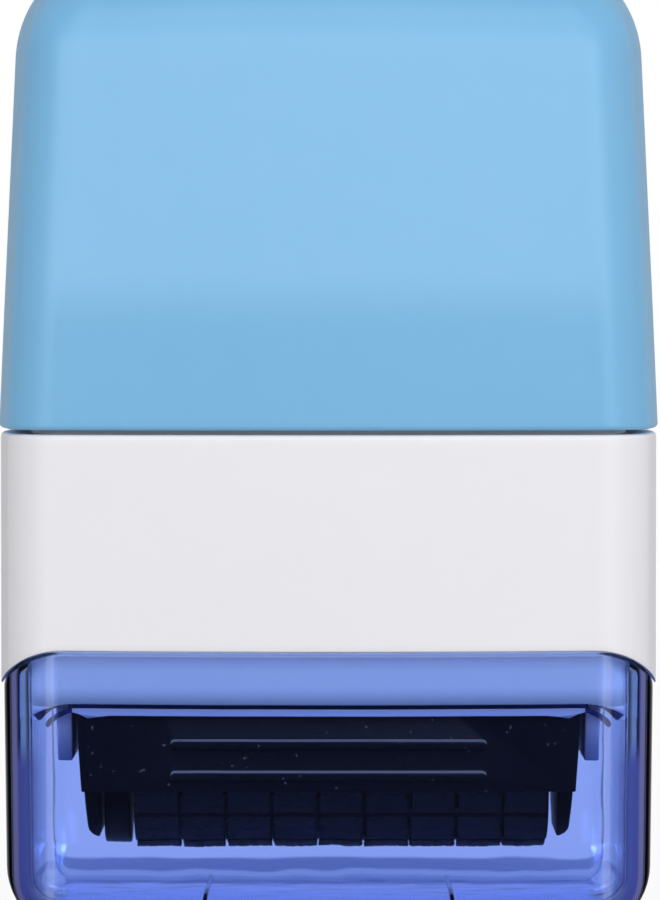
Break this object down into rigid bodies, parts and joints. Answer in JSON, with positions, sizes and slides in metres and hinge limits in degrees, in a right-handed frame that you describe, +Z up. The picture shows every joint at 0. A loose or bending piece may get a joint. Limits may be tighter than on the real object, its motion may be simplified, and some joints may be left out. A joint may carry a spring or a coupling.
{
  "type": "privacy roller stamp",
  "caption": "Hand-held privacy roller stamp: hollow handle, slide-in refill unit with a relief roller and a foam ink roller, and a clear pull-off cap.",
  "frame": {"origin": "centre of the cap's flat bottom, which the stamp stands on", "axes": "+Z up through the handle, +X to the right seen from the front and along the rollers, +Y to the back"},
  "size_m": [0.0452, 0.03, 0.066],
  "materials": {
    "handle_blue": "satin moulded plastic, light blue",
    "housing_white": "satin moulded plastic, cool white",
    "cap_blue": "clear polished plastic, tinted deep blue",
    "cartridge_black": "fine satin black",
    "type_rubber": "inked rubber relief",
    "ink_foam": "open foam wet with ink",
    "bearing_plastic": "natural bearing plastic",
    "steel": "drawn steel"
  },
  "bodies": {
    "handle": {"handle_shell": "handle_blue"},
    "refill": {"refill_housing": "housing_white", "cartridge_frame": "cartridge_black", "cartridge_lid": "cartridge_black", "type_bush_left": "bearing_plastic", "type_bush_right": "bearing_plastic", "ink_bearing_left": "bearing_plastic", "ink_bearing_right": "bearing_plastic", "pressure_spring_left": "steel", "pressure_spring_right": "steel"},
    "cap": {"cap_shell": "cap_blue"},
    "type_roller": {"type_sleeve": "type_rubber", "type_core": "bearing_plastic", "type_flange_left": "cartridge_black", "type_flange_right": "cartridge_black", "type_axle": "steel"},
    "ink_roller": {"ink_sleeve": "ink_foam", "ink_core": "bearing_plastic", "ink_flange_left": "cartridge_black", "ink_flange_right": "cartridge_black", "ink_axle": "steel"}
  },
  "joints": [
    {"name": "refill_pull", "type": "slide", "parent": "handle", "child": "refill", "axis": [0, 0, -1], "range_m": [0, 0.02]},
    {"name": "cap_pull", "type": "slide", "parent": "refill", "child": "cap", "axis": [0, 0, -1], "range_m": [0, 0.022]},
    {"name": "type_spin", "type": "hinge", "parent": "refill", "child": "type_roller", "pos_m": [0, 0, 0.0123], "axis": [1, 0, 0], "continuous": true},
    {"name": "ink_spin", "type": "hinge", "parent": "refill", "child": "ink_roller", "pos_m": [0, 0, 0.0258], "axis": [1, 0, 0], "continuous": true}
  ],
  "couplings": [
    {"joint": "ink_spin", "follows": "type_spin", "ratio": -1.129}
  ]
}
